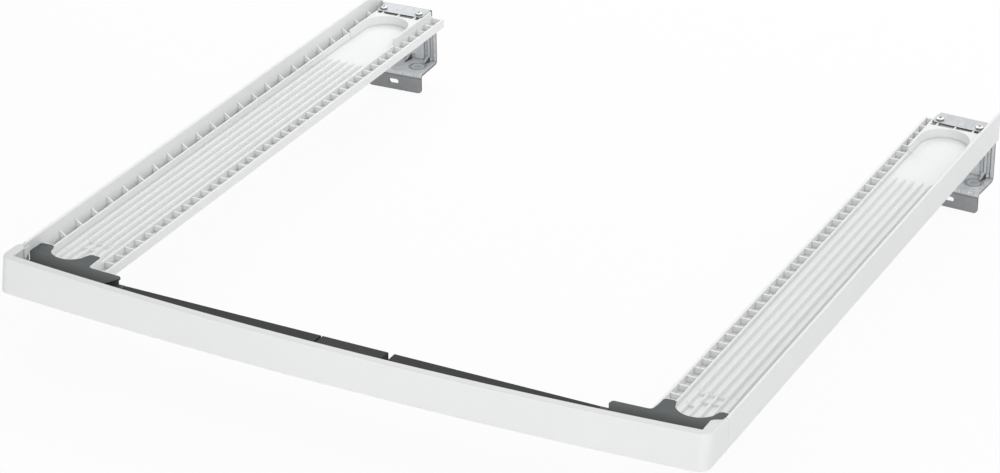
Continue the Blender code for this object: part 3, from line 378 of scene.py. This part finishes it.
class Finish(Nodes):
    """A material under way: its shader, and the patterns that feed it."""

    def __init__(self, name, colour):
        self.material = bpy.data.materials.new(name)
        self.material.use_nodes = True
        super().__init__(self.material.node_tree)
        self.shader = self.tree.nodes["Principled BSDF"]
        self.colour = tuple(colour)
        self.set("Base Color", (*colour, 1))
        self.place = self.node("ShaderNodeTexCoord", {}, {}, "Object")

    def set(self, name, value):
        """Gives one of the shader's sockets a value or a pattern."""
        self.feed(self.shader.inputs[name], value)

    def stretched(self, scale):
        """The place on the piece, scaled along each axis."""
        return self.node("ShaderNodeMapping", {}, {"Vector": self.place, "Scale": scale})

    def noise(self, per_metre, detail, roughness=0.5):
        """Cloudy noise with a number of changes in a metre."""
        inputs = {"Vector": self.place, "Scale": per_metre, "Detail": detail, "Roughness": roughness}
        return self.node("ShaderNodeTexNoise", {}, inputs, "Fac")

    def streaks(self, per_metre, detail):
        """Noise drawn out along the axes on which it changes least."""
        inputs = {"Vector": self.stretched(per_metre), "Scale": 1, "Detail": detail, "Roughness": 0.5}
        return self.node("ShaderNodeTexNoise", {}, inputs, "Fac")

    def cells(self, per_metre, feature="F1", output="Distance"):
        """Cells packed side by side, with a number of them in a metre."""
        inputs = {"Vector": self.place, "Scale": per_metre}
        return self.node("ShaderNodeTexVoronoi", {"feature": feature}, inputs, output)

    def ramp(self, value, *stops):
        """A value led through stops, each a position and a shade of grey."""
        return self.node("ShaderNodeValToRGB", {"stops": stops}, {"Fac": value}, "Color")

    def between(self, factor, first, second):
        """A colour between two others, as wires or plain colours."""
        first = first if isinstance(first, Wire) else (*first, 1)
        second = second if isinstance(second, Wire) else (*second, 1)
        inputs = {0: factor, 6: first, 7: second}
        return self.node("ShaderNodeMix", {"data_type": "RGBA"}, inputs, 2)

    def shade(self, amount):
        """The finish's own colour, made lighter or darker."""
        return tuple(min(channel * amount, 1) for channel in self.colour)

    def rounded(self, radius):
        """The normal that the surface has when its sharp edges are rounded by a radius."""
        return self.node("ShaderNodeBevel", {"samples": EDGE_SAMPLES}, {"Radius": radius}, "Normal")

    def edges(self, radius):
        """A mask of the sharp edges: 0 on the flat and 1 along an edge or a crease."""
        flat = self.node("ShaderNodeNewGeometry", {}, {}, "Normal")
        inputs = {0: self.rounded(radius), 1: flat}
        same = self.node("ShaderNodeVectorMath", {"operation": "DOT_PRODUCT"}, inputs, "Value")
        return self.ramp(1 - same, (0.005, 0.0), (0.1, 1.0))

    def upward(self):
        """A mask of the faces that look up."""
        return self.ramp(self.facing("Z"), (0.75, 0.0), (0.98, 1.0))

    def facing(self, axis):
        """How far the surface looks along an axis, from -1 to 1."""
        normal = self.node("ShaderNodeNewGeometry", {}, {}, "Normal")
        return self.node("ShaderNodeSeparateXYZ", {}, {"Vector": normal}, axis)

    def creases(self, reach):
        """A mask of the piece's own hollow corners, where painted shade goes: 0 in the open and 1 deep in a
        crease.
        """
        settings = {"samples": CREASE_SAMPLES, "only_local": True}
        open_share = self.node("ShaderNodeAmbientOcclusion", settings, {"Distance": reach}, "AO")
        return self.ramp(open_share, (0.45, 1.0), (0.97, 0.0))

    def along(self, axis):
        """The place along one of the piece's axes, in metres."""
        return self.node("ShaderNodeSeparateXYZ", {}, {"Vector": self.place}, axis)

    def relief(self, height, depth, edge):
        """A bump of a real depth on edges rounded by a real radius, both in metres."""
        inputs = {"Height": height, "Distance": depth, "Normal": self.rounded(edge)}
        self.set("Normal", self.node("ShaderNodeBump", {}, inputs, "Normal"))


def white_finish(settings, name, relief, flow, painted_top_share, painted_top_tone):
    """Cool white moulded plastic: soft tone drift, flow lines along the piece and a fine grain, with
    painted shade in the creases, painted highlights along the edges, and tops painted lighter or darker as
    the light falls on them.
    """
    made = Finish(name, settings.white)
    drift = made.noise(7, 3)
    tone = made.ramp(drift * 0.6 + made.streaks(flow, 2) * 0.4, (0.3, 0.0), (0.7, 1.0))
    speck = made.ramp(made.noise(2600, 1), (0.62, 0.0), (0.75, 1.0))
    # Painted shade: the piece's creases and hollow corners, mixed into the colour at the end
    crease = made.creases(settings.crease_shade_reach)
    base = made.between(tone, made.shade(0.978), made.shade(1.016))
    base = made.between(speck * 0.12, base, made.shade(0.86))
    # Painted highlight along the sharp edges, left out in the creases
    base = made.between(made.edges(settings.edge_radius) * (1 - crease) * 0.8, base, made.shade(1.16))
    # Painted light or shade: the faces that look up made lighter or darker
    base = made.between(made.upward() * painted_top_share, base, made.shade(painted_top_tone))
    # Painted shade in the creases
    made.set("Base Color", made.between(crease * settings.crease_shade_tone, base, made.shade(0.55)))
    made.set("Roughness", drift * 0.1 + made.noise(420, 2) * 0.08 + 0.31)
    made.set("Specular IOR Level", 0.42)
    grain = made.noise(1 / settings.grain_pitch, 3, roughness=0.6)
    peel = made.noise(0.22 / settings.grain_pitch, 1)
    made.relief(grain * 0.45 + peel * 0.55, relief, settings.edge_radius)
    return made.material


def dark_finish(settings, name, colour, specular, painted_lip_shadow):
    """Dark moulded plastic: spark-eroded grain, rubbed lighter in patches, painted highlights along the
    edges, and a painted shadow behind the trim's lip.
    """
    made = Finish(name, colour)
    pits = made.cells(1.6 / settings.grain_pitch, "SMOOTH_F1")
    cloud = made.noise(38, 4)
    rub = made.ramp(made.noise(90, 5, roughness=0.7), (0.5, 0.0), (0.68, 1.0))
    base = made.between(cloud, made.shade(0.84), made.shade(1.16))
    base = made.between(rub * 0.3, base, made.shade(1.5))
    # Painted highlight along the sharp edges
    base = made.between(made.edges(settings.edge_radius) * 0.6, base, made.shade(2.4))
    # Painted shadow of the trim's lip: the stop darker the nearer it is to the lip's edge
    if painted_lip_shadow:
        behind = made.along("Y") - abs(made.along("X")) * settings.lip_slope - settings.lip_place
        lip_shadow_mask = made.ramp(behind * (1 / settings.lip_shadow_reach), (0.0, 1.0), (1.0, 0.0))
        base = made.between(lip_shadow_mask * 0.97, base, made.shade(0.06))
    made.set("Base Color", base)
    made.set("Roughness", cloud * 0.14 + pits * 0.16 + 0.4)
    made.set("Specular IOR Level", specular)
    bumps = made.noise(3.2 / settings.grain_pitch, 2)
    made.relief(pits * 0.7 + bumps * 0.3, DARK_RELIEF, settings.edge_radius)
    return made.material


def zinc_finish(settings):
    """Zinc-coated sheet: crystals, rolling streaks and dull patches, with painted light and shade on each
    face by its height, and painted shade in the folds and bends, on the cut edges and on the faces turned
    to the side.
    """
    made = Finish("zinc_sheet", settings.steel)
    crystal = made.cells(1 / settings.crystal_width, "F1", "Color")
    tint = made.node("ShaderNodeSeparateColor", {}, {"Color": crystal}, "Red")
    rolling = made.streaks(ROLLING_STREAKS, 4)
    dull = made.ramp(made.noise(70, 4, roughness=0.65), (0.44, 0.0), (0.68, 1.0))
    low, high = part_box("left_bracket")
    share = (made.along("Z") - low[2]) * (1 / (high[2] - low[2]))
    back = made.facing("Y")
    # Painted shade on the curved faces of the bends, which look partly along Y
    painted_bend_shade = made.ramp(back, (0.2, 0.0), (0.45, 0.8), (0.8, 0.8), (0.95, 0.0))
    # Painted shade on the plate's cut edges
    plate_edge_shade = made.ramp(abs(back), (0.8, 0.0), (0.95, 1.0)) * made.ramp(share, (0.97, 0.0), (0.98, 1.0))
    # Painted shade on every face turned to the side: the cut edges and the beads' flanks; these faces are
    # also not metallic
    side_face_shade = made.ramp(abs(made.facing("X")), (0.4, 0.0), (0.8, 1.0))
    base = made.between(tint * 0.4 + rolling * 0.6, made.shade(0.82), made.shade(1.18))
    base = made.between(dull * 0.35, base, made.shade(0.74))
    # Painted light and shade: each face of the bracket lighter or darker by its height, with painted shade
    # in the folds
    base = made.between(made.ramp(share, *ZINC_PAINTED_LIGHT_SHARES), made.shade(0.3), base)
    base = made.between(painted_bend_shade, base, made.shade(0.3))
    base = made.between(plate_edge_shade, base, made.shade(0.12))
    made.set("Base Color", made.between(side_face_shade * 0.95, base, made.shade(0.07)))
    made.set("Metallic", (1 - side_face_shade) * 0.35)
    made.set("Specular IOR Level", 0.2)
    made.set("Roughness", tint * 0.1 + dull * 0.16 + rolling * 0.1 + 0.22)
    scratches = made.noise(700, 3)
    made.relief(rolling * 0.6 + tint * 0.1 + scratches * 0.3, ZINC_RELIEF, settings.edge_radius)
    return made.material


def screw_finish(settings):
    """Bright zinc-plated screw: fine turning marks on a bright crown, and painted shade on its flank."""
    made = Finish("screw_plating", settings.screw)
    cloud = made.noise(240, 3)
    marks = made.streaks(TURNING_MARKS, 2)
    # Painted shade: the head's flank, which is turned to the side, is made darker
    flank = made.ramp(abs(made.facing("Z")), (0.25, 1.0), (0.6, 0.0))
    base = made.between(cloud, made.shade(0.94), made.shade(1.06))
    made.set("Base Color", made.between(flank * 0.85, base, made.shade(0.2)))
    made.set("Metallic", 0.85)
    made.set("Roughness", cloud * 0.16 + marks * 0.1 + 0.14)
    made.relief(marks, SCREW_RELIEF, settings.edge_radius)
    return made.material


def foam_finish(settings):
    """Dark rubber foam with fine open cells."""
    made = Finish("pad_foam", settings.foam)
    cell = made.cells(1500)
    skin = made.noise(120, 3)
    made.set("Base Color", made.between(cell, made.shade(0.55), made.shade(1.7)))
    made.set("Roughness", skin * 0.1 + 0.86)
    made.relief(cell * 0.8 + skin * 0.2, FOAM_RELIEF, settings.edge_radius)
    return made.material


def dress(names, finish):
    """Gives CAD nodes a finish in place of their plain colour."""
    for name in names:
        node = NODES[name]
        node.data.materials.clear()
        node.data.materials.append(finish)


def both(*stems):
    """Names of the pieces that each side has."""
    return [f"{side}_{stem}" for side, _ in SIDES for stem in stems]


def put_away():
    """Leaves nothing selected and nothing in edit mode."""
    if bpy.context.mode != "OBJECT":
        bpy.ops.object.mode_set(mode="OBJECT")
    bpy.ops.object.select_all(action="DESELECT")


def take_up(pieces):
    """Selects some pieces and no others, with the first as the active one."""
    put_away()
    for piece in pieces:
        piece.select_set(True)
    bpy.context.view_layer.objects.active = pieces[0]


def copied(pattern, place):
    """A copy of a modelled pattern, with its own mesh, at a place."""
    copy = pattern.copy()
    copy.data = pattern.data.copy()
    copy.location = place
    bpy.context.collection.objects.link(copy)
    return copy


def keep(piece, name, finish):
    """Settles a finished piece: its name, its place in the mesh, its body and its finish."""
    take_up([piece])
    bpy.ops.object.transform_apply(location=True, rotation=True, scale=True)
    bpy.ops.object.shade_smooth_by_angle(angle=math.radians(SMOOTH_ANGLE))
    piece.name = name
    piece.data.name = name
    piece.data.materials.clear()
    piece.data.materials.append(finish)
    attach(piece, BODY)
    put_away()


def edit_top(piece):
    """Opens a piece in edit mode with only its top faces selected."""
    bpy.ops.object.mode_set(mode="EDIT")
    bpy.ops.mesh.select_all(action="DESELECT")
    bpy.ops.mesh.select_mode(type="FACE")
    bpy.ops.object.mode_set(mode="OBJECT")
    for face in piece.data.polygons:
        face.select = face.normal.z > TOP_NORMAL
    bpy.ops.object.mode_set(mode="EDIT")


def soften(piece, width):
    """Rounds a piece's sharp edges with a bevel that is applied at once."""
    bevel = piece.modifiers.new("soft_edges", "BEVEL")
    bevel.width = width
    bevel.segments = 2
    bevel.limit_method = "ANGLE"
    bpy.context.view_layer.objects.active = piece
    bpy.ops.object.modifier_apply(modifier=bevel.name)


def swage_pattern(sizes):
    """A round swage pressed up from a shelf: a low ring with sloped flanks round a dished floor."""
    put_away()
    rise = sizes.swage_rise
    bpy.ops.mesh.primitive_cylinder_add(
        vertices=SWAGE_SIDES, radius=sizes.swage_radius, depth=rise, location=(0, 0, 0),
    )
    swage = bpy.context.object
    edit_top(swage)
    crest = 1 - rise * FLANK_RUN / sizes.swage_radius
    bpy.ops.transform.resize(value=(crest, crest, 1))
    bpy.ops.mesh.inset(thickness=sizes.swage_width)
    bpy.ops.mesh.inset(thickness=rise)
    bpy.ops.transform.translate(value=(0, 0, -rise * DISH_SHARE))
    bpy.ops.mesh.inset(thickness=sizes.swage_width * 2)
    bpy.ops.transform.translate(value=(0, 0, rise * DISH_SHARE / 2))
    bpy.ops.object.mode_set(mode="OBJECT")
    soften(swage, rise / 3)
    return swage


def web_pattern(sizes):
    """A short web with a crest narrower than its foot."""
    put_away()
    bpy.ops.mesh.primitive_cube_add(size=1, location=(0, 0, 0))
    web = bpy.context.object
    web.scale = (sizes.web_length, sizes.web_width, sizes.web_rise)
    bpy.ops.object.transform_apply(location=False, rotation=False, scale=True)
    edit_top(web)
    bpy.ops.transform.resize(value=(1, WEB_CREST_SHARE, 1))
    bpy.ops.object.mode_set(mode="OBJECT")
    soften(web, sizes.web_width / 5)
    return web


class KIT_OT_white_plastic(bpy.types.Operator):
    """Finish the rails and the front trim in white moulded plastic"""

    bl_idname = "kit.white_plastic"
    bl_label = "White plastic"

    def execute(self, context):
        settings = context.scene.kit_finish
        rail = white_finish(
            settings, "white_rail_plastic", RAIL_RELIEF, RAIL_FLOW, painted_top_share=0.42, painted_top_tone=1.14,
        )
        trim = white_finish(
            settings, "white_trim_plastic", TRIM_RELIEF, TRIM_FLOW, painted_top_share=0.12, painted_top_tone=0.0,
        )
        dress(both("rail"), rail)
        dress(["front_trim"], trim)
        return {"FINISHED"}


class KIT_OT_dark_plastic(bpy.types.Operator):
    """Finish the foot stops and the cross bar in dark moulded plastic"""

    bl_idname = "kit.dark_plastic"
    bl_label = "Dark plastic"

    def execute(self, context):
        settings = context.scene.kit_finish
        paler = [channel * 1.2 for channel in settings.bar]
        stop = dark_finish(settings, "dark_stop_plastic", settings.dark, specular=0.3, painted_lip_shadow=True)
        bar = dark_finish(settings, "dark_bar_plastic", settings.bar, specular=0.1, painted_lip_shadow=False)
        joiner = dark_finish(settings, "dark_joiner_plastic", paler, specular=0.1, painted_lip_shadow=False)
        dress(both("foot_stop"), stop)
        dress(both("cross_bar"), bar)
        dress(["cross_bar_joiner"], joiner)
        return {"FINISHED"}


class KIT_OT_steel(bpy.types.Operator):
    """Finish the brackets, their screws and the stops' screws in steel"""

    bl_idname = "kit.steel"
    bl_label = "Steel"

    def execute(self, context):
        settings = context.scene.kit_finish
        dress(both("bracket"), zinc_finish(settings))
        stems = ("inner_bracket_screw", "outer_bracket_screw", "inner_stop_screw", "outer_stop_screw")
        dress(both(*stems), screw_finish(settings))
        return {"FINISHED"}


class KIT_OT_pads(bpy.types.Operator):
    """Finish the grip pads in rubber foam"""

    bl_idname = "kit.pads"
    bl_label = "Grip pads"

    def execute(self, context):
        dress(both("front_grip_pad", "rear_grip_pad"), foam_finish(context.scene.kit_finish))
        return {"FINISHED"}


class KIT_OT_tray_webs(bpy.types.Operator):
    """Add the short webs between the tray's ribs near the foot stops"""

    bl_idname = "kit.tray_webs"
    bl_label = "Tray webs"

    def execute(self, context):
        sizes = context.scene.kit_sizes
        finish = NODES["left_rail"].data.materials[0]
        height = sizes.web_low + sizes.web_rise / 2
        pattern = web_pattern(sizes)
        for side, sign in SIDES:
            webs = []
            for valley, along in WEB_PLACES:
                aside = sign * (sizes.tray_middle + valley * sizes.rib_pitch)
                webs.append(copied(pattern, (aside, along, height)))
            take_up(webs)
            bpy.ops.object.join()
            keep(webs[0], f"{side}_tray_webs", finish)
        bpy.data.objects.remove(pattern)
        return {"FINISHED"}


class KIT_OT_shelf_swages(bpy.types.Operator):
    """Add the round swage on each bracket's shelf"""

    bl_idname = "kit.shelf_swages"
    bl_label = "Shelf swages"

    def execute(self, context):
        sizes = context.scene.kit_sizes
        finish = NODES["left_bracket"].data.materials[0]
        pattern = swage_pattern(sizes)
        for side, _ in SIDES:
            low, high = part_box(f"{side}_bracket")
            aside = (low[0] + high[0]) / 2 + sizes.swage_aside
            along = high[1] - sizes.swage_inset
            height = low[2] + sizes.shelf_height + sizes.swage_rise / 2
            swage = copied(pattern, (aside, along, height))
            keep(swage, f"{side}_shelf_swage", finish)
        bpy.data.objects.remove(pattern)
        return {"FINISHED"}


def pale_floor(glow):
    """Floor finish: matt white that takes shadows, seen by the camera mostly as plain white."""
    made = Finish("floor_white", (0.92, 0.92, 0.92))
    made.set("Roughness", 0.9)
    made.set("Specular IOR Level", 0.1)
    light = made.node("ShaderNodeEmission", {}, {"Color": (1, 1, 1, 1), "Strength": 1.0})
    seen = made.node("ShaderNodeLightPath", {}, {}, "Is Camera Ray")
    matt = Wire(made, made.shader.outputs[0])
    mixed = made.node("ShaderNodeMixShader", {}, {0: seen * glow, 1: matt, 2: light})
    made.feed(made.tree.nodes["Material Output"].inputs["Surface"], mixed)
    return made.material


def white_world(strength):
    """An even light from all round, seen as white by the camera and in reflections."""
    world = bpy.data.worlds.new("white_room")
    world.use_nodes = True
    made = Nodes(world.node_tree)
    sky = made.tree.nodes["Background"]
    by_camera = made.node("ShaderNodeLightPath", {}, {}, "Is Camera Ray")
    by_gloss = made.node("ShaderNodeLightPath", {}, {}, "Is Glossy Ray")
    seen = made.node("ShaderNodeMath", {"operation": "MAXIMUM"}, {0: by_camera, 1: by_gloss})
    made.feed(sky.inputs["Color"], (1, 1, 1, 1))
    made.feed(sky.inputs["Strength"], seen * (1 - strength) + strength)
    return world


def lamp(name, aim, power, size):
    """A square soft lamp that stands in its place and faces a point."""
    data = bpy.data.lights.new(name, "AREA")
    data.energy = power
    data.size = size
    made = bpy.data.objects.new(name, data)
    bpy.context.scene.collection.objects.link(made)
    place = Vector(LAMP_PLACES[name])
    made.location = place
    made.rotation_euler = (Vector(aim) - place).to_track_quat("-Z", "Y").to_euler()


def lay_floor(stage):
    put_away()
    height = CAD_BOX[0][2] - FLOOR_GAP
    bpy.ops.mesh.primitive_plane_add(size=FLOOR_WIDTH, location=(*FLOOR_MIDDLE, height))
    floor = bpy.context.object
    floor.name = "floor"
    floor.data.materials.append(pale_floor(stage.floor_glow))


def place_camera(stage):
    """The camera where the photograph was taken from, with its turn, dip and roll."""
    forward = Vector((
        -math.sin(stage.yaw) * math.cos(stage.pitch),
        math.cos(stage.yaw) * math.cos(stage.pitch),
        -math.sin(stage.pitch),
    ))
    level = Vector((math.cos(stage.yaw), math.sin(stage.yaw), 0))
    under = forward.cross(level)
    right = math.cos(stage.roll) * level + math.sin(stage.roll) * under
    down = math.cos(stage.roll) * under - math.sin(stage.roll) * level
    data = bpy.data.cameras.new("camera")
    data.sensor_fit = "HORIZONTAL"
    data.sensor_width = SENSOR_WIDTH
    data.lens = stage.lens
    data.shift_x, data.shift_y = stage.shift
    data.clip_end = VIEW_END
    camera = bpy.data.objects.new("camera", data)
    bpy.context.scene.collection.objects.link(camera)
    turn = Matrix((right, -down, -forward)).transposed().to_4x4()
    camera.matrix_world = Matrix.Translation(Vector(stage.place)) @ turn
    bpy.context.scene.camera = camera


class KIT_OT_stage(bpy.types.Operator):
    """Set the floor, the light and the camera"""

    bl_idname = "kit.stage"
    bl_label = "Stage"

    def execute(self, context):
        stage = context.scene.kit_stage
        lay_floor(stage)
        context.scene.world = white_world(stage.sky)
        lamp("front_lamp", TRIM_MIDDLE, stage.front, stage.small)
        lamp("corner_lamp", KIT_MIDDLE, stage.corner, stage.wide)
        lamp("side_lamp", KIT_MIDDLE, stage.side, stage.wide)
        lamp("rear_lamp", LEFT_TRAY_REAR, stage.rear, stage.narrow)
        lamp("left_rear_lamp", LEFT_TRAY_REAR, stage.left_rear, stage.narrow)
        place_camera(stage)
        context.scene.view_settings.view_transform = "Standard"
        return {"FINISHED"}


class KIT_PT_panel(bpy.types.Panel):
    bl_label = "Stacking Kit"
    bl_idname = "KIT_PT_panel"
    bl_space_type = "VIEW_3D"
    bl_region_type = "UI"
    bl_category = "Stacking Kit"

    def draw(self, context):
        for operator in OPERATORS:
            self.layout.operator(operator.bl_idname)


OPERATORS = (
    KIT_OT_white_plastic,
    KIT_OT_dark_plastic,
    KIT_OT_steel,
    KIT_OT_pads,
    KIT_OT_tray_webs,
    KIT_OT_shelf_swages,
    KIT_OT_stage,
)
CLASSES = (FinishSettings, PieceSettings, StageSettings, *OPERATORS, KIT_PT_panel)


def register():
    """Registers the classes and gives each scene its settings."""
    for each in CLASSES:
        bpy.utils.register_class(each)
    bpy.types.Scene.kit_finish = bpy.props.PointerProperty(type=FinishSettings)
    bpy.types.Scene.kit_sizes = bpy.props.PointerProperty(type=PieceSettings)
    bpy.types.Scene.kit_stage = bpy.props.PointerProperty(type=StageSettings)


def unregister():
    """Takes the settings and the classes away again."""
    del bpy.types.Scene.kit_stage
    del bpy.types.Scene.kit_sizes
    del bpy.types.Scene.kit_finish
    for each in reversed(CLASSES):
        bpy.utils.unregister_class(each)


def main():
    register()
    bpy.ops.kit.white_plastic()
    bpy.ops.kit.dark_plastic()
    bpy.ops.kit.steel()
    bpy.ops.kit.pads()
    bpy.ops.kit.tray_webs()
    bpy.ops.kit.shelf_swages()
    bpy.ops.kit.stage()


if __name__ == "__main__":
    main()
